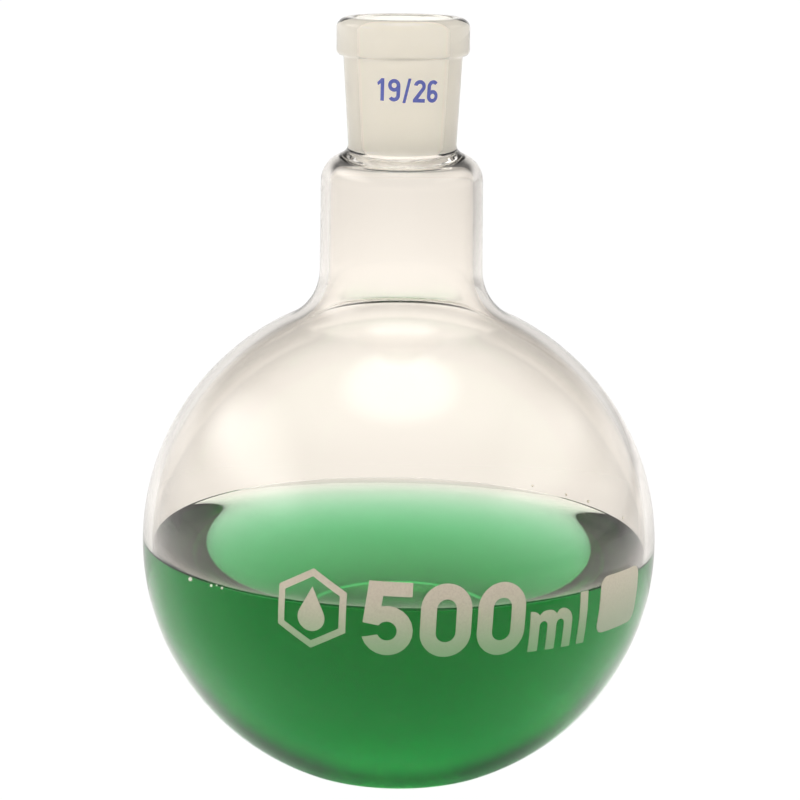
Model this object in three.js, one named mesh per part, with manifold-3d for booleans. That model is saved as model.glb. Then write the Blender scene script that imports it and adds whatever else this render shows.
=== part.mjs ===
// A 500 ml laboratory flask with a ground glass socket, half full of a green solution.
// Millimetres, +Z up. The origin is the centre of the small flat that the flask stands on.
import * as THREE from "three";
import { mergeVertices } from "three/addons/utils/BufferGeometryUtils.js";
import Module from "manifold-3d";

const wasm = await Module();
wasm.setup();

// Glass thickness, and the clearance between pieces that touch.
const GLASS_WALL = 1.9;
const GAP = 0.3;

// Bulb: two half spheroids that share their widest circle, with a small flat to stand on.
const BULB_RADIUS = 52.5;
const BULB_RISE = 51.3;
const BULB_DROP = 51.2;
const FOOT_RADIUS = 22;
const FOOT_BLEND = 2.6;
const EQUATOR_Z = BULB_DROP * Math.sqrt(1 - (FOOT_RADIUS / BULB_RADIUS) ** 2);

// Neck: a tube that flares into the bulb and closes over a round shoulder to the socket.
const FLARE_START_RADIUS = 22.7;
const NECK_RADIUS = 16.4;
const NECK_TOP_RADIUS = 16.2;
const SHOULDER_RADIUS = 5.6;
const SHOULDER_TOP_Z = EQUATOR_Z + 79.6;

// Ground socket, size 19/26: bore 18.8 at the mouth, ground over 26, tapering 1 in 10.
const MOUTH_BORE_RADIUS = 9.4;
const GROUND_LENGTH = 26;
const BORE_TAPER = 1 / 10;
const SOCKET_FOOT_RADIUS = 10.75;
const SOCKET_WALL_TOP_RADIUS = 11.8;
const BEAD_RADIUS = 13.2;
const BEAD_BOTTOM_Z = EQUATOR_Z + 99;
const BEAD_SIDE_TOP_Z = EQUATOR_Z + 104.3;
const BEAD_CHAMFER = 1.1;
const RIM_Z = EQUATOR_Z + 106.4;
const RIM_FLAT_INNER_RADIUS = 10.1;
const RIM_FLAT_OUTER_RADIUS = 10.9;
const MOUTH_LIP_HEIGHT = 1.3;
const SMALL_BORE_RADIUS = MOUTH_BORE_RADIUS - (GROUND_LENGTH * BORE_TAPER) / 2;
const GROUND_TOP_Z = RIM_Z - MOUTH_LIP_HEIGHT;
const GROUND_FOOT_Z = GROUND_TOP_Z - GROUND_LENGTH;

// Green solution: its flat surface is just under the widest circle.
const SOLUTION_Z = EQUATOR_Z - 0.9;

// Fired enamel marks on the bulb: heights are from the widest circle, azimuths from -Y to +X.
const ENAMEL_THICKNESS = 0.3;
const MARK_BASELINE = -8.5;
const MARK_SLOPE = -0.043;
const DIGIT_HEIGHT = 14.4;
const DIGIT_WIDTH = 9.8;
const DIGIT_STROKE = 3;
const SMALL_M_HEIGHT = 8.1;
const SMALL_L_HEIGHT = 10.6;
const LETTER_STROKE = 2.1;
const LETTER_LEAN = -0.04;
const SPOT_WIDTH = 14.7;
const SPOT_HEIGHT = 11.5;
const SPOT_CORNER = 2.2;
const EMBLEM_RADIUS = 7.8;
const EMBLEM_STROKE = 1.5;
const DROP_RADIUS = 2.7;
const DROP_TIP = 6;
const SPOT_Z = -3.9;
const EMBLEM_Z = -0.1;

// The middle of each mark on the bulb, as a distance round the widest circle.
const ALONG = { emblem: -16.5, five: -1.9, zero1: 9.05, zero2: 20, m: 31.1, l: 39.1, spot: 51.2 };

// Blue joint size marks on the socket.
const SIZE_MARK_Z = EQUATOR_Z + 93;
const SIZE_DIGIT_HEIGHT = 4.4;
const SIZE_DIGIT_WIDTH = 2.5;
const SIZE_STROKE = 0.74;
const SLASH_LEAN = 0.2;
const SIZE_DEGREES = { one: -22, nine: -8.5, slash: 4, two: 16.5, six: 30.5 };

const TURN_SEGMENTS = 48;
const CURVE_STEPS = 8;

// The skin that marks are cut from: its fineness, and its reach above and below the
// widest circle in radians. A prism this deep passes through it on one side only.
const SKIN_SEGMENTS = 72;
const SKIN_REACH = 0.3;
const PRISM_DEPTH = 8;

const paint = (color, roughness, extra = {}) =>
  new THREE.MeshStandardMaterial({ color, roughness, metalness: 0, ...extra });
const clearGlass = paint(0xf0ece4, 0.05, { transparent: true, opacity: 0.35 });
const groundGlass = paint(0xebe1cd, 0.6, { transparent: true, opacity: 0.6 });
const greenSolution = paint(0x2a9a4c, 0.05);
const greyEnamel = paint(0xc8beac, 0.55);
const blueEnamel = paint(0x3c4fae, 0.5);

const group = new THREE.Group();

function addMesh(name, geometry, material) {
  const mesh = new THREE.Mesh(geometry, material);
  mesh.name = name;
  group.add(mesh);
}

// Turns a profile of (radius, height) points, up the outside and down the inside, about Z.
function turned(profile, segments = TURN_SEGMENTS) {
  return new THREE.LatheGeometry(profile, segments).rotateX(Math.PI / 2);
}

const at = (radius, height) => new THREE.Vector2(radius, height);

// Points of an elliptical arc about (radius, height), without its first point.
function arc(centre, across, along, from, to, steps) {
  const points = [];
  for (let i = 1; i <= steps; i++) {
    const angle = from + ((to - from) * i) / steps;
    points.push(at(centre.x + across * Math.cos(angle), centre.y + along * Math.sin(angle)));
  }
  return points;
}

function solidOf(geometry) {
  const bare = geometry.clone().deleteAttribute("normal").deleteAttribute("uv");
  const merged = mergeVertices(bare, 1e-4);
  return new wasm.Manifold(
    new wasm.Mesh({
      numProp: 3,
      vertProperties: merged.attributes.position.array,
      triVerts: new Uint32Array(merged.index.array),
    }),
  );
}

function geometryOf(solid) {
  const { vertProperties, triVerts } = solid.getMesh();
  return new THREE.BufferGeometry()
    .setAttribute("position", new THREE.BufferAttribute(vertProperties, 3))
    .setIndex(new THREE.BufferAttribute(triVerts, 1));
}

// The bulb's lower half, `inset` inside the outer skin, from the foot up to `topAngle`
// below or at the widest circle. The outer skin has inset 0.
function lowerBulb(inset, topAngle) {
  const across = BULB_RADIUS - inset;
  const drop = BULB_DROP - inset;
  const footAngle = -Math.asin((EQUATOR_Z - inset) / drop);
  const footEdge = at(across * Math.cos(footAngle), inset);
  const blendAngle = footAngle + FOOT_BLEND / drop;
  const blendEnd = at(across * Math.cos(blendAngle), EQUATOR_Z + drop * Math.sin(blendAngle));
  const blend = new THREE.QuadraticBezierCurve(
    at(footEdge.x - FOOT_BLEND, inset),
    footEdge,
    blendEnd,
  );
  return [
    ...blend.getPoints(3),
    ...arc(at(0, EQUATOR_Z), across, drop, blendAngle, topAngle, 9),
  ];
}

// The whole bulb, neck and shoulder, from the foot up to the underside of the socket.
function bodyOutline(inset) {
  const start = Math.acos(FLARE_START_RADIUS / BULB_RADIUS);
  const slope = at(Math.cos(start) / BULB_RADIUS, Math.sin(start) / BULB_RISE).normalize();
  const flare = (FLARE_START_RADIUS - NECK_RADIUS) / (1 - slope.x);
  const flareCentre = at(
    NECK_RADIUS + flare,
    EQUATOR_Z + BULB_RISE * Math.sin(start) + flare * slope.y,
  );
  const flareAngle = Math.atan2(-slope.y, -slope.x);
  const shoulderCentre = at(
    NECK_TOP_RADIUS - SHOULDER_RADIUS,
    SHOULDER_TOP_Z - SHOULDER_RADIUS,
  );
  const bend = SHOULDER_RADIUS - inset;
  return [
    ...lowerBulb(inset, 0),
    ...arc(at(0, EQUATOR_Z), BULB_RADIUS - inset, BULB_RISE - inset, 0, start, 8),
    ...arc(flareCentre, flare + inset, flare + inset, flareAngle, -Math.PI, 5),
    at(NECK_TOP_RADIUS - inset, shoulderCentre.y),
    ...arc(shoulderCentre, bend, bend, 0, Math.PI / 2, 5),
  ];
}

function boreRadiusAt(z) {
  return SMALL_BORE_RADIUS + ((z - GROUND_FOOT_Z) * BORE_TAPER) / 2;
}

function makeFlaskBody() {
  const profile = [
    at(0, 0),
    ...bodyOutline(0),
    at(boreRadiusAt(SHOULDER_TOP_Z), SHOULDER_TOP_Z),
    ...bodyOutline(GLASS_WALL).reverse(),
    at(0, GLASS_WALL),
  ];
  addMesh("flask_body", turned(profile), clearGlass);
}

function makeGroundSocket() {
  const foot = SHOULDER_TOP_Z + GAP;
  const crown = at(RIM_FLAT_OUTER_RADIUS, BEAD_SIDE_TOP_Z);
  const lip = at(RIM_FLAT_INNER_RADIUS, GROUND_TOP_Z);
  const profile = [
    at(boreRadiusAt(foot), foot),
    at(SOCKET_FOOT_RADIUS, foot),
    at(SOCKET_WALL_TOP_RADIUS, BEAD_BOTTOM_Z),
    at(BEAD_RADIUS - BEAD_CHAMFER / 3, BEAD_BOTTOM_Z + BEAD_CHAMFER / 3),
    at(BEAD_RADIUS, BEAD_BOTTOM_Z + BEAD_CHAMFER),
    at(BEAD_RADIUS, BEAD_SIDE_TOP_Z),
    ...arc(crown, BEAD_RADIUS - crown.x, RIM_Z - crown.y, 0, Math.PI / 2, 5),
    at(RIM_FLAT_INNER_RADIUS, RIM_Z),
    ...arc(lip, lip.x - MOUTH_BORE_RADIUS, RIM_Z - lip.y, Math.PI / 2, Math.PI, 3),
    at(boreRadiusAt(foot), foot),
  ];
  addMesh("ground_socket", turned(profile), groundGlass);
}

function makeSolution() {
  const inset = GLASS_WALL + GAP;
  const surfaceAngle = -Math.asin((EQUATOR_Z - SOLUTION_Z) / (BULB_DROP - inset));
  const profile = [at(0, inset), ...lowerBulb(inset, surfaceAngle), at(0, SOLUTION_Z)];
  addMesh("green_solution", turned(profile), greenSolution);
}

// A closed skin just outside the bulb, which the bulb's marks are cut from.
function bulbSkin() {
  const middle = at(0, EQUATOR_Z);
  const layer = (lift, from, to) => {
    const lower = arc(middle, BULB_RADIUS + lift, BULB_DROP + lift, from, 0, 4);
    const upper = arc(middle, BULB_RADIUS + lift, BULB_RISE + lift, 0, to, 4);
    return [...lower, ...upper];
  };
  const outer = layer(GAP + ENAMEL_THICKNESS, -SKIN_REACH, SKIN_REACH);
  const inner = layer(GAP, -SKIN_REACH, SKIN_REACH);
  return solidOf(turned([...outer, ...inner.reverse(), outer[0]], SKIN_SEGMENTS));
}

// The same for the tapered outside of the socket.
function socketSkin() {
  const foot = SHOULDER_TOP_Z + 2 * GAP;
  const top = BEAD_BOTTOM_Z - GAP;
  const inner = GAP;
  const outer = GAP + ENAMEL_THICKNESS;
  const profile = [
    at(SOCKET_FOOT_RADIUS + outer, foot),
    at(SOCKET_WALL_TOP_RADIUS + outer, top),
    at(SOCKET_WALL_TOP_RADIUS + inner, top),
    at(SOCKET_FOOT_RADIUS + inner, foot),
    at(SOCKET_FOOT_RADIUS + outer, foot),
  ];
  return solidOf(turned(profile, SKIN_SEGMENTS));
}

// Cuts a flat outline out of a skin, so that the mark follows the glass.
function addMark(name, shape, place) {
  const settings = { depth: PRISM_DEPTH, bevelEnabled: false, curveSegments: CURVE_STEPS };
  const prism = new THREE.ExtrudeGeometry(shape, settings)
    .center()
    .applyMatrix4(new THREE.Matrix4().makeShear(0, 0, place.lean ?? 0, 0, 0, 0))
    .rotateZ(Math.atan(MARK_SLOPE))
    .rotateX(Math.PI / 2)
    .translate(0, -place.radius, 0)
    .rotateZ(place.azimuth)
    .translate(0, 0, place.z);
  addMesh(name, geometryOf(solidOf(prism).intersect(place.skin)), place.material);
}

function outline(...points) {
  return new THREE.Shape(points.map(([x, y]) => at(x, y)));
}

function oblong(width, height, corner) {
  const shape = new THREE.Shape();
  const right = width / 2 - corner;
  const top = height / 2 - corner;
  shape.absarc(right, top, corner, 0, Math.PI / 2);
  shape.absarc(-right, top, corner, Math.PI / 2, Math.PI);
  shape.absarc(-right, -top, corner, Math.PI, 1.5 * Math.PI);
  shape.absarc(right, -top, corner, 1.5 * Math.PI, 2 * Math.PI);
  return shape;
}

function zeroShape(width, height, stroke) {
  const shape = oblong(width, height, width / 2);
  shape.holes.push(oblong(width - 2 * stroke, height - 2 * stroke, width / 2 - stroke));
  return shape;
}

function fiveShape(width, height, stroke) {
  const bowl = width / 2;
  const inner = bowl - stroke;
  const shape = new THREE.Shape();
  shape.moveTo(0.12 * width, height);
  shape.lineTo(0.96 * width, height);
  shape.lineTo(0.96 * width, height - 0.9 * stroke);
  shape.lineTo(0.4 * width, height - 0.9 * stroke);
  shape.absarc(bowl, bowl, bowl, 0.58 * Math.PI, -0.9 * Math.PI, true);
  shape.absarc(bowl, bowl, inner, -0.86 * Math.PI, 0.82 * Math.PI);
  shape.lineTo(0.03 * width, 0.44 * height);
  return shape;
}

function smallMShape(height, stroke) {
  const gap = 0.9 * stroke;
  const pitch = stroke + gap;
  const archTop = height - stroke;
  const shoulder = 1.25 * stroke;
  const shape = new THREE.Shape();
  shape.moveTo(0, 0);
  for (const x of [stroke, stroke + pitch]) {
    shape.lineTo(x, 0);
    shape.absarc(x + gap / 2, archTop - gap / 2, gap / 2, Math.PI, 0, true);
    shape.lineTo(x + gap, 0);
  }
  const right = stroke + 2 * pitch;
  shape.lineTo(right, 0);
  shape.absarc(right - shoulder, height - shoulder, shoulder, 0, Math.PI / 2);
  for (const x of [stroke + pitch, stroke]) {
    shape.quadraticCurveTo(x + 0.3 * gap, height, x, height - 0.45 * stroke);
    shape.quadraticCurveTo(x - 0.3 * stroke, height, x - 0.9 * stroke, height);
  }
  shape.lineTo(0, height);
  return shape;
}

function barShape(width, height) {
  return outline([0, 0], [width, 0], [width, height], [0, height]);
}

function hexagonRing(radius, stroke) {
  const corners = (r) =>
    Array.from({ length: 6 }, (_, i) => {
      const angle = (i + 0.5) * (Math.PI / 3);
      return [r * Math.cos(angle), r * Math.sin(angle)];
    });
  const shape = outline(...corners(radius));
  shape.holes.push(outline(...corners(radius - stroke)));
  return shape;
}

// A liquid drop: a round belly whose sides run straight to a point.
function dropShape(radius, tip) {
  const touch = Math.asin(radius / tip);
  const shape = new THREE.Shape();
  shape.absarc(0, 0, radius, Math.PI - touch, 2 * Math.PI + touch);
  shape.lineTo(0, tip);
  return shape;
}

function oneShape(width, height, stroke) {
  return outline(
    [width - stroke, 0],
    [width, 0],
    [width, height],
    [width - 0.8 * stroke, height],
    [0, height - 1.2 * stroke],
    [0.2 * stroke, height - 2 * stroke],
    [width - stroke, height - 1.4 * stroke],
  );
}

function twoShape(width, height, stroke) {
  const bowl = width / 2;
  const centre = height - bowl;
  const shape = new THREE.Shape();
  shape.absarc(bowl, centre, bowl, 0.95 * Math.PI, -0.25 * Math.PI, true);
  shape.lineTo(0.42 * width, stroke);
  shape.lineTo(width, stroke);
  shape.lineTo(width, 0);
  shape.lineTo(0, 0);
  shape.lineTo(0, 0.8 * stroke);
  shape.absarc(bowl, centre, bowl - stroke, -0.25 * Math.PI, 0.95 * Math.PI);
  return shape;
}

function sixShape(width, height, stroke) {
  const bowl = width / 2;
  const meet = Math.acos((stroke - bowl) / bowl);
  const shape = new THREE.Shape();
  shape.absarc(bowl, height - bowl, bowl, Math.PI, 0.2 * Math.PI, true);
  shape.absarc(bowl, height - bowl, bowl - stroke, 0.2 * Math.PI, Math.PI);
  shape.absarc(bowl, bowl, bowl, meet, -Math.PI, true);
  const counter = new THREE.Path();
  counter.absarc(bowl, bowl, bowl - stroke, 0, 2 * Math.PI);
  shape.holes.push(counter);
  return shape;
}

function nineShape(width, height, stroke) {
  const six = sixShape(width, height, stroke);
  const turn = (points) => points.map((point) => at(width - point.x, height - point.y));
  const { shape, holes } = six.extractPoints(CURVE_STEPS);
  const nine = new THREE.Shape(turn(shape));
  nine.holes.push(...holes.map((hole) => new THREE.Path(turn(hole))));
  return nine;
}

// Marks on the bulb. `along` is the distance round the widest circle from -Y towards +X.
function makeBulbMarks() {
  const bulb = { skin: bulbSkin(), radius: BULB_RADIUS, material: greyEnamel };
  const put = (name, shape, along, z, lean = 0) =>
    addMark(name, shape, { ...bulb, azimuth: along / BULB_RADIUS, z: EQUATOR_Z + z, lean });
  const line = (along, height) => MARK_BASELINE + MARK_SLOPE * along + height / 2;
  const digitSize = [DIGIT_WIDTH, DIGIT_HEIGHT, DIGIT_STROKE];

  const { emblem, five, zero1, zero2, m, l, spot } = ALONG;

  put("capacity_digit_5", fiveShape(...digitSize), five, line(five, DIGIT_HEIGHT));
  put("capacity_digit_0_first", zeroShape(...digitSize), zero1, line(zero1, DIGIT_HEIGHT));
  put("capacity_digit_0_second", zeroShape(...digitSize), zero2, line(zero2, DIGIT_HEIGHT));
  const smallM = smallMShape(SMALL_M_HEIGHT, LETTER_STROKE);
  put("capacity_letter_m", smallM, m, line(m, SMALL_M_HEIGHT), LETTER_LEAN);
  const smallL = barShape(LETTER_STROKE, SMALL_L_HEIGHT);
  put("capacity_letter_l", smallL, l, line(l, SMALL_L_HEIGHT), LETTER_LEAN);
  put("marking_spot", oblong(SPOT_WIDTH, SPOT_HEIGHT, SPOT_CORNER), spot, SPOT_Z);
  put("emblem_hexagon", hexagonRing(EMBLEM_RADIUS, EMBLEM_STROKE), emblem, EMBLEM_Z);
  put("emblem_drop", dropShape(DROP_RADIUS, DROP_TIP), emblem, EMBLEM_Z);
}

// Marks on the socket, each at its own angle from -Y towards +X.
function makeSizeMarks() {
  const socket = { skin: socketSkin(), radius: SOCKET_FOOT_RADIUS, material: blueEnamel };
  const size = [SIZE_DIGIT_WIDTH, SIZE_DIGIT_HEIGHT, SIZE_STROKE];
  const put = (name, shape, degrees, lean = 0) => {
    const azimuth = THREE.MathUtils.degToRad(degrees);
    const z = SIZE_MARK_Z + MARK_SLOPE * azimuth * SOCKET_FOOT_RADIUS;
    addMark(name, shape, { ...socket, azimuth, z, lean });
  };
  const one = oneShape(0.6 * SIZE_DIGIT_WIDTH, SIZE_DIGIT_HEIGHT, SIZE_STROKE);
  const slash = barShape(0.8 * SIZE_STROKE, 1.1 * SIZE_DIGIT_HEIGHT);

  put("joint_size_digit_1", one, SIZE_DEGREES.one);
  put("joint_size_digit_9", nineShape(...size), SIZE_DEGREES.nine);
  put("joint_size_slash", slash, SIZE_DEGREES.slash, SLASH_LEAN);
  put("joint_size_digit_2", twoShape(...size), SIZE_DEGREES.two);
  put("joint_size_digit_6", sixShape(...size), SIZE_DEGREES.six);
}

makeFlaskBody();
makeGroundSocket();
makeSolution();
makeBulbMarks();
makeSizeMarks();

export default group;
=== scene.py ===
"""A 500 ml flask with a 19/26 ground socket, half full of a green solution, on a pale floor."""

import math

import bmesh
import bpy
from mathutils import Matrix, Vector


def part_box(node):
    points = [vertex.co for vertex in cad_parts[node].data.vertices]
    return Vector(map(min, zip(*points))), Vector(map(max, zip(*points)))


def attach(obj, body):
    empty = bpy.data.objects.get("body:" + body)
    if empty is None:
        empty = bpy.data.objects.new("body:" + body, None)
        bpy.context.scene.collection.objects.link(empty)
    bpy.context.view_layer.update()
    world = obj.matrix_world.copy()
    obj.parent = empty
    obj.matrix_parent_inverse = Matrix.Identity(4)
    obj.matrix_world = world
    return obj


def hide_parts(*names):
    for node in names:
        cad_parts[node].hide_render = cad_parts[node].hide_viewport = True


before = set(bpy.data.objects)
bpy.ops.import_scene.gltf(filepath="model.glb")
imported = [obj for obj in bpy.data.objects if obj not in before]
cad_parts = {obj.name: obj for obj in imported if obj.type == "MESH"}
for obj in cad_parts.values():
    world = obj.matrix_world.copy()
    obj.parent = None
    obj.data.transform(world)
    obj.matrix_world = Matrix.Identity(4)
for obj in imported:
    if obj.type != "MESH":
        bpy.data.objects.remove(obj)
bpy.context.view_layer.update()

MM = 0.001
body_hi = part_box("flask_body")[1]
socket_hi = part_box("ground_socket")[1]
liquid_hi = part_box("green_solution")[1]

# ---------------------------------------------------------------- sizes, in millimetres
# Those that the CAD boxes hold are read from them.
WALL = 1.9
BULB_RADIUS = body_hi.x / MM
BULB_DROP = 51.2  # half axis of the bulb below its widest circle
BULB_RISE = 51.3  # and above it
FOOT_RADIUS = 22.0
FOOT_BLEND = 2.6
FOOT_DISH_RADIUS = FOOT_RADIUS - FOOT_BLEND - 1.2
PUSH_UP = 0.5
EQUATOR = BULB_DROP * math.sqrt(1 - (FOOT_RADIUS / BULB_RADIUS) ** 2)
FLARE_START_RADIUS = 22.7
NECK_RADIUS = 16.4
NECK_TOP_RADIUS = 16.2
SHOULDER_RADIUS = 5.6
SHOULDER_TOP = body_hi.z / MM

SOCKET_FOOT_RADIUS = 10.75
SOCKET_TOP_RADIUS = 11.8
RIM = socket_hi.z / MM
BEAD_RADIUS = socket_hi.x / MM
BEAD_BOTTOM = RIM - 7.4
BEAD_COVE = 0.55
COVE_SWELL = (0.02, 0.15)
COVE_REACH = 0.3
BEAD_LOWER_ROUND = (0.9, 1.1)  # across, along
BEAD_UPPER_ROUND = 2.3
BEAD_SIDE_TOP = RIM - 2.1
RIM_FLAT_INSET = 2.9
LIP_WIDTH = 0.75
LIP_HEIGHT = 1.3
MOUTH_RADIUS = 9.4
GROUND_LENGTH = 26.0
BORE_SLOPE = 20  # mm of length for each mm of radius: 1 in 10 on the diameter
SMALL_BORE = MOUTH_RADIUS - GROUND_LENGTH / BORE_SLOPE
GROUND_TOP = RIM - LIP_HEIGHT
GROUND_FOOT = GROUND_TOP - GROUND_LENGTH
BORE_FOOT_DROP = 0.5  # the round from the bore out to the shoulder's inner face
BORE_FOOT_REACH = 1.6
BORE_FOOT_RISE = 0.4

# The fused joint leaves the shoulder some rows before its crown and meets the socket's wall above it.
JOINT_ROWS = 6
JOINT_HEIGHT = 1.9
JOINT_REACH = 1.6
JOINT_SINK = 0.02
JOINT_SWELL = 0.1
JOINT_FLARE = 0.07
SOCKET_TINT_HEIGHT = 0.6  # above the shoulder, where the socket's own glass begins

# The liquid climbs the glass. Its level in the middle is a little under the CAD's flat top.
LEVEL_DROP = 0.4
CAPILLARY_LENGTH = 2.5
CONTACT_ANGLE = math.radians(48)
CLIMB_ANGLE = math.pi / 2 - CONTACT_ANGLE
CLIMB = 2 * CAPILLARY_LENGTH * math.sin(CLIMB_ANGLE / 2)
LAST_SLOPE = 0.012  # where the climb counts as flat, as a share of its first slope
LIQUID_LEVEL = liquid_hi.z / MM - LEVEL_DROP
CONTACT = LIQUID_LEVEL + CLIMB
LIQUID_LEAN = (-0.014, -0.002)  # rise of the surface per mm along X and along Y
LEAN_REACH = 38.0
LIQUID_GAP = 0.02
FLATTENING = 6  # the power by which the last of the climb dies away towards the axis

# The enamel marks: how far their inner and outer faces stand off the glass, and the distance that
# divides inner from outer on the CAD marks.
MARK_INNER = 0.005
BLUE_MARK_OUTER = 0.05
GREY_MARK_OUTER = 0.13
CAD_MARK_MIDDLE = 0.42
SOCKET_SKIN_FOOT = (SOCKET_FOOT_RADIUS + 0.05, SHOULDER_TOP + 1.3)
SOCKET_SKIN_TOP = (SOCKET_TOP_RADIUS, BEAD_BOTTOM - BEAD_COVE)

# Small drops on the skin: degrees from the front towards +X, height above the widest circle, radius.
DROPLETS = (
    (-49.7, 0.79, 0.42), (-42.9, 0.86, 0.28), (-39.7, 0.97, 0.26), (-41.3, 1.2, 0.16),
    (133.9, 0.45, 0.3), (125.9, 0.4, 0.36), (109.0, 0.3, 0.3), (144.6, 0.75, 0.26),
)
DROPLET_STAND = 0.3  # how far a drop's middle is outside the skin, as a share of its radius
RING_POINTS = 256
ON_AXIS = 1e-6

# ---------------------------------------------------------------- looks
CLEAR, WETTED, GROUND, SOCKET = range(4)  # the glass's material slots
GLASS_IOR = 1.47
LIQUID_IOR = 1.333
BODY_TINT = ((0.975, 0.945, 0.905), (0.91, 0.875, 0.83))  # face on, edge on
SOCKET_TINT = ((1.0, 0.98, 0.935), (0.98, 0.95, 0.89))
EDGE_BLEND = 0.35
GROUND_GRAIN = 900
GROUND_ROUGHNESS = (0.0, 1.0, 0.6, 0.8)
DYE_COLOUR = (0.02, 0.715, 0.34, 1)
DYE_DENSITY = 60.0
ENAMEL_GRAIN = 2600
ENAMEL_DETAIL = 3
ENAMEL_STOPS = (0.3, 0.62)
# The enamel's colour fades, from 5 mm above the widest circle to 11 mm below it, into painted light: the
# green of the liquid behind the glass.
LIQUID_LIGHT_FADE = ((EQUATOR + 5.0) * MM, (EQUATOR - 11.0) * MM, 0.0, 1.0)

# ---------------------------------------------------------------- studio, in metres
# Each ramp is (from, to, value at from, value at to). The world's ramps run along one axis of a
# direction, the others along a distance.
STUDIO_WHITE = (1.0, 0.985, 0.965, 1)
FRONT_TO_BACK = (-0.6, 0.5, 0.85, 0.95)
LEFT_TO_RIGHT = (-0.8, 0.8, 1.0, 0.85)
HORIZON_TO_HIGH = (0.12, 0.35, 1.0, 0.16)
OVERHEAD = (0.55, 0.95, 0.0, 0.9)
ZENITH_BOX = (0.91, 0.985, 0.0, 3.3)
LEFT_BOX = ((-0.6, -0.85, 0.0, 1.0), (0.2, 0.5, 0.0, 3.0))  # along X, along Z
RIGHT_BOX = ((0.6, 0.85, 0.0, 1.0), (0.2, 0.5, 0.0, 1.3))

FLOOR_HALF = 3.0
# The floor's colour darkens far off and towards +X: painted shade, which the camera hardly sees but the
# glass shows.
FLOOR_FAR = (0.42, 0.9, 0.97, 0.8)
FLOOR_RIGHT = (0.12, 0.8, 1.0, 0.65)
FLOOR_SEEN = 1.03
FLOOR_SEEN_SHARE = 0.97
POOL = 0.44
POOL_FALL = (0.045, 0.095, POOL, 0.08 * POOL)
POOL_EDGE = (0.12, 0.2, 1.0, 0.0)
POOL_BEHIND = (-0.03, 0.03, 0.0, 1.0)
POOL_NEAR = (0.034, 0.057, 1.6, 1.0)

CARD_Y = 0.1
CARD_HALF_WIDTH = 0.2
CARD_LOW, CARD_HIGH = 0.0005, 0.055
CARD_SIDE_FADE = (0.08, CARD_HALF_WIDTH, 1.0, 0.0)
CARD_TOP_FADE = (0.038, CARD_HIGH, 1.0, 0.0)
CARD_GLOW = (0.018, 0.034, 0.84, 1.03)

CAMERA_LENS = 114.9
CAMERA_SENSOR = 36
CAMERA_BACK = 507.93  # millimetres in front of the flask's axis
CAMERA_UP = 140.49  # millimetres above the bulb's widest circle
CAMERA_TILT = 12.371  # degrees down
CAMERA_ROLL = 0.009


# ---------------------------------------------------------------- profiles
def arc(cx, cz, across, along, start, end, steps):
    """Points (r, z) of an elliptical arc about (cx, cz), without its first."""
    points = []
    for i in range(1, steps + 1):
        a = start + (end - start) * i / steps
        points.append((cx + across * math.cos(a), cz + along * math.sin(a)))
    return points


def bezier(p0, p1, p2, p3, steps):
    """Points of a cubic curve from p0 to p3, without p0."""
    points = []
    for i in range(1, steps + 1):
        t = i / steps
        a, b, c, d = (1 - t) ** 3, 3 * t * (1 - t) ** 2, 3 * t * t * (1 - t), t ** 3
        points.append(tuple(a * p0[k] + b * p1[k] + c * p2[k] + d * p3[k] for k in (0, 1)))
    return points


def foot(inset, steps=12):
    """The slightly pushed-up foot, from the axis to near its edge."""
    points = []
    for i in range(steps + 1):
        r = FOOT_DISH_RADIUS * i / steps
        lift = PUSH_UP * (1 - (r / FOOT_DISH_RADIUS) ** 2) ** 2
        points.append((r, inset + lift))
    return points


def body_outline(inset):
    """From the edge of the foot to the crown of the shoulder, `inset` inside the outer skin."""
    across, drop, rise = BULB_RADIUS - inset, BULB_DROP - inset, BULB_RISE - inset
    foot_angle = -math.asin((EQUATOR - inset) / drop)
    edge = (across * math.cos(foot_angle), inset)
    blend_angle = foot_angle + FOOT_BLEND / drop
    end = (across * math.cos(blend_angle), EQUATOR + drop * math.sin(blend_angle))
    start = (edge[0] - FOOT_BLEND, inset)
    pulls = [tuple(p[k] + (edge[k] - p[k]) * 2 / 3 for k in (0, 1)) for p in (start, end)]
    points = [start] + bezier(start, pulls[0], pulls[1], end, steps=8)
    points += arc(0, EQUATOR, across, drop, blend_angle, 0, steps=48)
    top = math.acos(FLARE_START_RADIUS / BULB_RADIUS)
    points += arc(0, EQUATOR, across, rise, 0, top, steps=44)
    slope = Vector((math.cos(top) / BULB_RADIUS, math.sin(top) / BULB_RISE)).normalized()
    flare = (FLARE_START_RADIUS - NECK_RADIUS) / (1 - slope.x)
    cx, cz = NECK_RADIUS + flare, EQUATOR + BULB_RISE * math.sin(top) + flare * slope.y
    turn = math.atan2(-slope.y, -slope.x)
    points += arc(cx, cz, flare + inset, flare + inset, turn, -math.pi, steps=20)
    shoulder_z = SHOULDER_TOP - SHOULDER_RADIUS
    points.append((NECK_TOP_RADIUS - inset, shoulder_z))
    bend = SHOULDER_RADIUS - inset
    points += arc(NECK_TOP_RADIUS - SHOULDER_RADIUS, shoulder_z, bend, bend, 0, math.pi / 2, steps=16)
    return points


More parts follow.
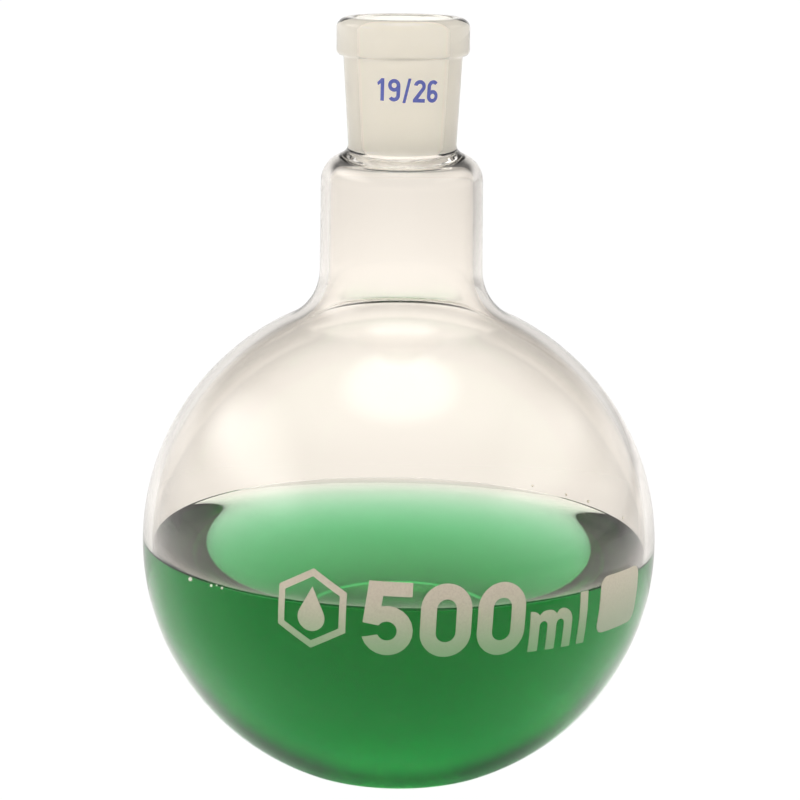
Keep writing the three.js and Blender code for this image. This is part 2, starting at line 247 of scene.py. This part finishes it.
def socket_outline(shoulder, crown_z):
    """Outside of the socket: from the shoulder's last point over the bead to the mouth."""
    wall_foot = (SOCKET_FOOT_RADIUS + JOINT_FLARE, SHOULDER_TOP + JOINT_HEIGHT)
    inward = (shoulder[0] - JOINT_REACH, crown_z - JOINT_SINK)
    points = bezier(shoulder, inward, (wall_foot[0], crown_z + JOINT_SWELL), wall_foot, steps=12)
    wall_top = (SOCKET_TOP_RADIUS, BEAD_BOTTOM - BEAD_COVE)
    wall_steps = 8
    for i in range(1, wall_steps + 1):
        t = i / wall_steps
        points.append(tuple(wall_foot[k] + (wall_top[k] - wall_foot[k]) * t for k in (0, 1)))
    cove_end = (SOCKET_TOP_RADIUS + BEAD_COVE, BEAD_BOTTOM)
    upward = (wall_top[0] + COVE_SWELL[0], BEAD_BOTTOM - COVE_SWELL[1])
    points += bezier(wall_top, upward, (cove_end[0] - COVE_REACH, cove_end[1]), cove_end, steps=6)
    across, along = BEAD_LOWER_ROUND
    points += arc(BEAD_RADIUS - across, BEAD_BOTTOM + along, across, along, -math.pi / 2, 0, steps=8)
    across, along = BEAD_UPPER_ROUND, RIM - BEAD_SIDE_TOP
    points += arc(BEAD_RADIUS - across, BEAD_SIDE_TOP, across, along, 0, math.pi / 2, steps=14)
    points.append((BEAD_RADIUS - RIM_FLAT_INSET, RIM))
    lip = MOUTH_RADIUS + LIP_WIDTH
    points += arc(lip, GROUND_TOP, lip - MOUTH_RADIUS, LIP_HEIGHT, math.pi / 2, math.pi, steps=10)
    return points


def outside_rows():
    """The outer face, from the axis under the foot up to the mouth."""
    outer = foot(0) + body_outline(0)
    crown_z = outer[-1][1]
    points = outer[:-JOINT_ROWS]
    points += socket_outline(points[-1], crown_z)
    tint_z = SHOULDER_TOP + SOCKET_TINT_HEIGHT
    return [(r, z, SOCKET if z > tint_z else CLEAR) for r, z in points]


def bore_rows(steps=40):
    """The ground bore, from the mouth down."""
    rows = []
    for i in range(1, steps + 1):
        z = GROUND_TOP - GROUND_LENGTH * i / steps
        rows.append((SMALL_BORE + (z - GROUND_FOOT) / BORE_SLOPE, z, GROUND))
    return rows


def inside_rows():
    """The body's inner face, from the foot of the bore to the axis, with a row at the contact line."""
    inner = body_outline(WALL)
    crown = inner[-1]
    bore_foot = (SMALL_BORE, GROUND_FOOT)
    downward = (SMALL_BORE, crown[1] - BORE_FOOT_DROP)
    outward = (crown[0] - BORE_FOOT_REACH, crown[1] + BORE_FOOT_RISE)
    rows = [(r, z, CLEAR) for r, z in bezier(bore_foot, downward, outward, crown, steps=12)]
    above = crown
    for r, z in reversed(inner[:-1]):
        if z < CONTACT <= above[1]:
            t = (above[1] - CONTACT) / (above[1] - z)
            rows.append((above[0] + (r - above[0]) * t, CONTACT, CLEAR))
        rows.append((r, z, WETTED if z < CONTACT else CLEAR))
        above = (r, z)
    return rows + [(r, z, WETTED) for r, z in reversed(foot(WALL))]


def meniscus(steps=40):
    """The liquid's climb up the wall as (distance from the wall, height above the level)."""
    def reach(slope):
        return -CAPILLARY_LENGTH * (math.log(math.tan(slope / 4)) + 2 * math.cos(slope / 2))

    points = []
    for i in range(1, steps + 1):
        slope = CLIMB_ANGLE * (LAST_SLOPE ** (i / steps))
        points.append((reach(slope) - reach(CLIMB_ANGLE), 2 * CAPILLARY_LENGTH * math.sin(slope / 2)))
    return points


# ---------------------------------------------------------------- meshes
def skin_radius(z, inset=0.0):
    """Radius of the bulb at height z, `inset` inside the outer skin, in mm."""
    half = (BULB_DROP if z < EQUATOR else BULB_RISE) - inset
    return (BULB_RADIUS - inset) * math.sqrt(max(0.0, 1 - ((z - EQUATOR) / half) ** 2))


def socket_radius(z):
    """Radius of the socket's outer skin at height z, in mm."""
    (low_r, low_z), (high_r, high_z) = SOCKET_SKIN_FOOT, SOCKET_SKIN_TOP
    return low_r + (high_r - low_r) * (z - low_z) / (high_z - low_z)


def lean(x, y, z, inset):
    """A point (x, y, z) of the bulb near the liquid's edge, moved up its slightly leaning line."""
    near = max(0.0, 1 - abs(z - CONTACT) / LEAN_REACH)
    if near == 0:
        return x, y, z
    fade = near * near * (3 - 2 * near)
    high = z + (LIQUID_LEAN[0] * x + LIQUID_LEAN[1] * y) * fade
    scale = skin_radius(high, inset) / skin_radius(z, inset)
    return x * scale, y * scale, high


def place(name, mesh, materials):
    """A new object of the mesh, with its materials, in the scene."""
    for material in materials:
        mesh.materials.append(material)
    piece = bpy.data.objects.new(name, mesh)
    bpy.context.scene.collection.objects.link(piece)
    return piece


def lathe(name, rows, materials, inset, first_leaning=0):
    """Turns rows of (r mm, z mm, slot) about Z. A row's slot is that of the band that ends at it.

    Rows from first_leaning on lie `inset` inside the skin, and follow the liquid's lean.
    """
    mesh = bpy.data.meshes.new(name)
    bm = bmesh.new()
    rings = []
    for i, (r, z, _) in enumerate(rows):
        if r < ON_AXIS:
            rings.append([bm.verts.new((0, 0, z * MM))])
            continue
        ring = []
        for k in range(RING_POINTS):
            a = 2 * math.pi * k / RING_POINTS
            point = (r * math.cos(a), r * math.sin(a), z)
            if i >= first_leaning:
                point = lean(*point, inset)
            ring.append(bm.verts.new([c * MM for c in point]))
        rings.append(ring)
    for low, high, row in zip(rings, rings[1:], rows[1:]):
        for k in range(RING_POINTS):
            n = (k + 1) % RING_POINTS
            if len(low) == 1:
                face = bm.faces.new((low[0], high[n], high[k]))
            elif len(high) == 1:
                face = bm.faces.new((low[k], low[n], high[0]))
            else:
                face = bm.faces.new((low[k], low[n], high[n], high[k]))
            face.material_index = row[2]
            face.smooth = True
    bm.to_mesh(mesh)
    bm.free()
    return place(name, mesh, materials)


# ---------------------------------------------------------------- nodes
def node_material(name):
    """A new material with its nodes and links."""
    material = bpy.data.materials.new(name)
    material.use_nodes = True
    return material, material.node_tree.nodes, material.node_tree.links


def principled(name, **values):
    """A node material with one Principled BSDF. Returns (material, nodes, links, shader)."""
    material, nodes, links = node_material(name)
    shader = nodes["Principled BSDF"]
    for key, value in values.items():
        shader.inputs[key.replace("_", " ")].default_value = value
    return material, nodes, links, shader


def ramp(nodes, links, source, values, kind="SMOOTHSTEP"):
    """The source mapped by values = (from, to, value at from, value at to)."""
    node = nodes.new("ShaderNodeMapRange")
    node.interpolation_type = kind
    for key, value in zip(("From Min", "From Max", "To Min", "To Max"), values):
        node.inputs[key].default_value = value
    links.new(source, node.inputs["Value"])
    return node.outputs["Result"]


def combine(nodes, links, operation, *sources):
    """The sources taken together by one kind of Math node, from the first to the last."""
    result = sources[0]
    for source in sources[1:]:
        node = nodes.new("ShaderNodeMath")
        node.operation = operation
        links.new(result, node.inputs[0])
        links.new(source, node.inputs[1])
        result = node.outputs["Value"]
    return result


def axes_of(nodes, links, vector):
    """A vector's X, Y and Z."""
    split = nodes.new("ShaderNodeSeparateXYZ")
    links.new(vector, split.inputs["Vector"])
    return split.outputs


def mix_shaders(nodes, links, factor, first, second):
    """From the first shader at 0 to the second at 1, as the material's surface."""
    mix = nodes.new("ShaderNodeMixShader")
    links.new(factor, mix.inputs["Fac"])
    links.new(first, mix.inputs[1])
    links.new(second, mix.inputs[2])
    links.new(mix.outputs["Shader"], nodes["Material Output"].inputs["Surface"])


# ---------------------------------------------------------------- materials
def clear_glass(name, ior, tint):
    """Clear glass, a little darker and warmer where it is seen edge on."""
    material, nodes, links, shader = principled(
        name, Transmission_Weight=1.0, Roughness=0.0, IOR=ior, Specular_Tint=(0.5, 0.5, 0.5, 1)
    )
    facing = nodes.new("ShaderNodeLayerWeight")
    facing.inputs["Blend"].default_value = EDGE_BLEND
    colours = nodes.new("ShaderNodeValToRGB")
    for element, colour in zip(colours.color_ramp.elements, tint):
        element.color = (*colour, 1)
    links.new(facing.outputs["Facing"], colours.inputs["Fac"])
    links.new(colours.outputs["Color"], shader.inputs["Base Color"])
    return material


def ground_glass():
    """Rough, milky glass, with a faint glow in place of the light that it scatters."""
    material, nodes, links, shader = principled(
        "ground_glass", Transmission_Weight=0.6, IOR=GLASS_IOR, Base_Color=(1.0, 0.97, 0.9, 1),
        Emission_Color=(1.0, 0.92, 0.8, 1), Emission_Strength=0.09
    )
    where = nodes.new("ShaderNodeTexCoord")
    grain = nodes.new("ShaderNodeTexNoise")
    grain.inputs["Scale"].default_value = GROUND_GRAIN
    links.new(where.outputs["Object"], grain.inputs["Vector"])
    roughness = ramp(nodes, links, grain.outputs["Fac"], GROUND_ROUGHNESS, "LINEAR")
    links.new(roughness, shader.inputs["Roughness"])
    return material


def solution_material():
    """Only the open surface bends light here: the side faces touch the glass, which does."""
    material, nodes, links, shader = principled(
        "green_solution", Transmission_Weight=1.0, Roughness=0.0, IOR=LIQUID_IOR,
        Base_Color=(1, 1, 1, 1),
    )
    open_face = nodes.new("ShaderNodeAttribute")
    open_face.attribute_name = "open_surface"
    through = nodes.new("ShaderNodeBsdfTransparent")
    mix_shaders(nodes, links, open_face.outputs["Fac"], through.outputs["BSDF"], shader.outputs["BSDF"])
    dye = nodes.new("ShaderNodeVolumeAbsorption")
    dye.inputs["Color"].default_value = DYE_COLOUR
    dye.inputs["Density"].default_value = DYE_DENSITY
    links.new(dye.outputs["Volume"], nodes["Material Output"].inputs["Volume"])
    return material


def enamel(name, colour, dark, painted_liquid_light=None):
    """Fired enamel with a fine grain. The last argument, if given, is painted light: the liquid's green
    that the mark's lower part takes on.
    """
    material, nodes, links, shader = principled(name, Roughness=0.5)
    where = nodes.new("ShaderNodeTexCoord").outputs["Object"]
    grain = nodes.new("ShaderNodeTexNoise")
    grain.inputs["Scale"].default_value = ENAMEL_GRAIN
    grain.inputs["Detail"].default_value = ENAMEL_DETAIL
    colours = nodes.new("ShaderNodeValToRGB")
    for element, position, shade in zip(colours.color_ramp.elements, ENAMEL_STOPS, (dark, colour)):
        element.position = position
        element.color = (*shade, 1)
    links.new(where, grain.inputs["Vector"])
    links.new(grain.outputs["Fac"], colours.inputs["Fac"])
    if painted_liquid_light is None:
        links.new(colours.outputs["Color"], shader.inputs["Base Color"])
        return material
    # Painted light: the lower part of the mark turns to the liquid's green.
    mix = nodes.new("ShaderNodeMix")
    mix.data_type = "RGBA"
    mix.inputs["B"].default_value = (*painted_liquid_light, 1)
    height = axes_of(nodes, links, where)["Z"]
    links.new(ramp(nodes, links, height, LIQUID_LIGHT_FADE), mix.inputs["Factor"])
    links.new(colours.outputs["Color"], mix.inputs["A"])
    links.new(mix.outputs["Result"], shader.inputs["Base Color"])
    return material


# ---------------------------------------------------------------- pieces
def add_droplets(mesh):
    """Small drops on the bulb's outer skin, as closed balls sunk a little into it."""
    bm = bmesh.new()
    bm.from_mesh(mesh)
    for degrees, height, size in DROPLETS:
        a = math.radians(degrees)
        r = (skin_radius(EQUATOR + height) + DROPLET_STAND * size) * MM
        spot = Matrix.Translation((math.sin(a) * r, -math.cos(a) * r, (EQUATOR + height) * MM))
        ball = bmesh.ops.create_icosphere(bm, subdivisions=2, radius=size * MM, matrix=spot)
        for face in {f for v in ball["verts"] for f in v.link_faces}:
            # The drops are real, but they take the milky ground glass and its faint glow, so that they
            # show as light dots: painted glints.
            face.material_index = GROUND
            face.smooth = True
    bm.to_mesh(mesh)
    bm.free()


def make_glass():
    """The body and its socket, fused, as one closed wall."""
    materials = [
        clear_glass("clear_glass", GLASS_IOR, BODY_TINT),
        clear_glass("wetted_glass", GLASS_IOR / LIQUID_IOR, BODY_TINT),
        ground_glass(),
        clear_glass("socket_glass", GLASS_IOR, SOCKET_TINT),
    ]
    rows = outside_rows() + bore_rows()
    first_inside = len(rows)
    rows += inside_rows()
    piece = lathe("glass_vessel", rows, materials, WALL, first_inside)
    add_droplets(piece.data)
    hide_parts("flask_body", "ground_socket")
    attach(piece, "root")


def make_solution():
    """The liquid: its side just inside the wall, then its climb, then its open surface to the axis."""
    inset = WALL + LIQUID_GAP
    wall = skin_radius(CONTACT, inset)
    rows = [(r, z, 0) for r, z in foot(inset) + body_outline(inset) if z < CONTACT]
    rows.append((wall, CONTACT, 0))
    rows += [(wall - d, LIQUID_LEVEL + h, 1) for d, h in meniscus()]
    edge_r, edge_z, _ = rows[-1]
    steps = 24
    for i in range(1, steps + 1):
        t = 1 - i / steps
        rows.append((edge_r * t, LIQUID_LEVEL + (edge_z - LIQUID_LEVEL) * t ** FLATTENING, 1))
    material = solution_material()
    piece = lathe("green_liquid", rows, [material, material], inset)
    mesh = piece.data
    flags = mesh.attributes.new("open_surface", "FLOAT", "FACE")
    for face in mesh.polygons:
        flags.data[face.index].value = float(face.material_index)
        face.material_index = 0
    mesh.materials.pop(index=1)
    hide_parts("green_solution")
    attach(piece, "root")


def lay_on_glass(name, material, radius_at, outer):
    """The enamel mark laid on the glass: the node's own outline, thinner and closer."""
    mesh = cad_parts[name].data.copy()
    mesh.name = "fired_" + name
    for vertex in mesh.vertices:
        x, y, z = (c / MM for c in vertex.co)
        r = math.hypot(x, y)
        stand = outer if r - radius_at(z) > CAD_MARK_MIDDLE else MARK_INNER
        scale = (radius_at(z) + stand) / r
        vertex.co = (x * scale * MM, y * scale * MM, z * MM)
    mesh.materials.clear()
    piece = place("fired_" + name, mesh, [material])
    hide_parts(name)
    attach(piece, "root")


def make_marks():
    """The fired marks: the joint size in blue on the socket, the rest in grey on the bulb."""
    # The third colour of the grey and spot enamels is painted light: the liquid's green on their lower
    # parts.
    grey = enamel("grey_enamel", (0.62, 0.55, 0.44), (0.55, 0.48, 0.38), (0.20, 0.38, 0.18))
    spot = enamel("spot_enamel", (0.68, 0.61, 0.49), (0.61, 0.54, 0.43), (0.36, 0.42, 0.29))
    blue = enamel("blue_enamel", (0.10, 0.13, 0.50), (0.16, 0.19, 0.55))
    for name in sorted(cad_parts):
        if name.startswith("joint_size"):
            lay_on_glass(name, blue, socket_radius, BLUE_MARK_OUTER)
        elif name.startswith(("capacity", "marking", "emblem")):
            material = spot if name == "marking_spot" else grey
            lay_on_glass(name, material, skin_radius, GREY_MARK_OUTER)


# ---------------------------------------------------------------- stage
def sheet(name, corners, material):
    """A flat four-sided sheet."""
    mesh = bpy.data.meshes.new(name)
    mesh.from_pydata(corners, [], [(0, 1, 2, 3)])
    return place(name, mesh, [material])


def make_floor():
    """A floor that the camera sees almost white, with a pool of light behind the flask for the glass."""
    material, nodes, links, shader = principled("pale_floor", Roughness=0.6, Specular_IOR_Level=0.0)
    where = nodes.new("ShaderNodeTexCoord").outputs["Object"]
    axes = axes_of(nodes, links, where)
    away = nodes.new("ShaderNodeVectorMath")
    away.operation = "LENGTH"
    links.new(where, away.inputs[0])
    far = away.outputs["Value"]
    # Painted shade: the floor's colour darkens far from the flask and towards +X.
    grey = combine(
        nodes, links, "MULTIPLY",
        ramp(nodes, links, far, FLOOR_FAR), ramp(nodes, links, axes["X"], FLOOR_RIGHT),
    )
    links.new(grey, shader.inputs["Base Color"])
    strength = combine(
        nodes, links, "MULTIPLY",
        ramp(nodes, links, far, POOL_FALL), ramp(nodes, links, far, POOL_EDGE),
        ramp(nodes, links, axes["Y"], POOL_BEHIND), ramp(nodes, links, far, POOL_NEAR),
    )
    pool = nodes.new("ShaderNodeEmission")
    links.new(strength, pool.inputs["Strength"])
    lit = nodes.new("ShaderNodeAddShader")
    links.new(shader.outputs["BSDF"], lit.inputs[0])
    links.new(pool.outputs["Emission"], lit.inputs[1])
    white = nodes.new("ShaderNodeEmission")
    white.inputs["Strength"].default_value = FLOOR_SEEN
    seen = nodes.new("ShaderNodeLightPath")
    share = nodes.new("ShaderNodeMath")
    share.operation = "MULTIPLY"
    share.inputs[1].default_value = FLOOR_SEEN_SHARE
    links.new(seen.outputs["Is Camera Ray"], share.inputs[0])
    mix_shaders(nodes, links, share.outputs["Value"], lit.outputs["Shader"], white.outputs["Emission"])
    h = FLOOR_HALF
    floor = sheet("floor", [(-h, -h, 0), (h, -h, 0), (h, h, 0), (-h, h, 0)], material)


def make_card():
    """A low lit card behind the flask: only the glass and the liquid show it."""
    material, nodes, links = node_material("lit_card")
    nodes.remove(nodes["Principled BSDF"])
    axes = axes_of(nodes, links, nodes.new("ShaderNodeTexCoord").outputs["Object"])
    across = nodes.new("ShaderNodeMath")
    across.operation = "ABSOLUTE"
    links.new(axes["X"], across.inputs[0])
    cover = combine(
        nodes, links, "MULTIPLY",
        ramp(nodes, links, across.outputs["Value"], CARD_SIDE_FADE),
        ramp(nodes, links, axes["Z"], CARD_TOP_FADE),
    )
    glow = nodes.new("ShaderNodeEmission")
    glow.inputs["Color"].default_value = STUDIO_WHITE
    links.new(ramp(nodes, links, axes["Z"], CARD_GLOW, "LINEAR"), glow.inputs["Strength"])
    clear = nodes.new("ShaderNodeBsdfTransparent")
    mix_shaders(nodes, links, cover, clear.outputs["BSDF"], glow.outputs["Emission"])
    w, low, high = CARD_HALF_WIDTH, CARD_LOW, CARD_HIGH
    card = sheet("lit_card", [(-w, 0, low), (w, 0, low), (w, 0, high), (-w, 0, high)], material)
    card.location = (0, CARD_Y, 0)
    card.visible_camera = False


def make_world():
    """Light by direction, which the glass shows. The camera itself sees plain white."""
    world = bpy.data.worlds.new("studio")
    bpy.context.scene.world = world
    world.use_nodes = True
    nodes, links = world.node_tree.nodes, world.node_tree.links
    axes = axes_of(nodes, links, nodes.new("ShaderNodeTexCoord").outputs["Generated"])

    def along(axis, values):
        return ramp(nodes, links, axes[axis], values)

    def box(across_values, up_values):
        return combine(nodes, links, "MULTIPLY", along("X", across_values), along("Z", up_values))

    walls = combine(
        nodes, links, "MULTIPLY",
        along("Y", FRONT_TO_BACK), along("X", LEFT_TO_RIGHT), along("Z", HORIZON_TO_HIGH),
    )
    boxes = combine(nodes, links, "ADD", box(*LEFT_BOX), box(*RIGHT_BOX))
    level = combine(nodes, links, "ADD", walls, along("Z", OVERHEAD), along("Z", ZENITH_BOX), boxes)
    tinted = nodes.new("ShaderNodeMix")
    tinted.data_type = "RGBA"
    tinted.blend_type = "MULTIPLY"
    tinted.inputs["Factor"].default_value = 1.0
    tinted.inputs["A"].default_value = STUDIO_WHITE
    links.new(level, tinted.inputs["B"])
    seen = nodes.new("ShaderNodeLightPath")
    pick = nodes.new("ShaderNodeMix")
    pick.data_type = "RGBA"
    pick.inputs["B"].default_value = (1.0, 1.0, 1.0, 1)
    links.new(seen.outputs["Is Camera Ray"], pick.inputs["Factor"])
    links.new(tinted.outputs["Result"], pick.inputs["A"])
    links.new(pick.outputs["Result"], nodes["Background"].inputs["Color"])


def make_camera():
    """The camera in front of the flask, a little above it and looking down at it."""
    data = bpy.data.cameras.new("camera")
    data.sensor_width = CAMERA_SENSOR
    data.lens = CAMERA_LENS
    camera = bpy.data.objects.new("camera", data)
    camera.location = (0, -CAMERA_BACK * MM, (EQUATOR + CAMERA_UP) * MM)
    camera.rotation_mode = "XYZ"
    tilt = math.radians(90 - CAMERA_TILT)
    turn = Matrix.Rotation(tilt, 4, "X") @ Matrix.Rotation(CAMERA_ROLL, 4, "Z")
    camera.rotation_euler = turn.to_euler()
    bpy.context.scene.collection.objects.link(camera)
    bpy.context.scene.camera = camera


make_glass()
make_solution()
make_marks()
make_floor()
make_card()
make_world()
make_camera()

# Light passes many glass faces on its way through the flask.
bpy.context.scene.view_settings.view_transform = "Standard"
bpy.context.scene.cycles.transmission_bounces = 24
bpy.context.scene.cycles.transparent_max_bounces = 24
bpy.context.scene.cycles.max_bounces = 32
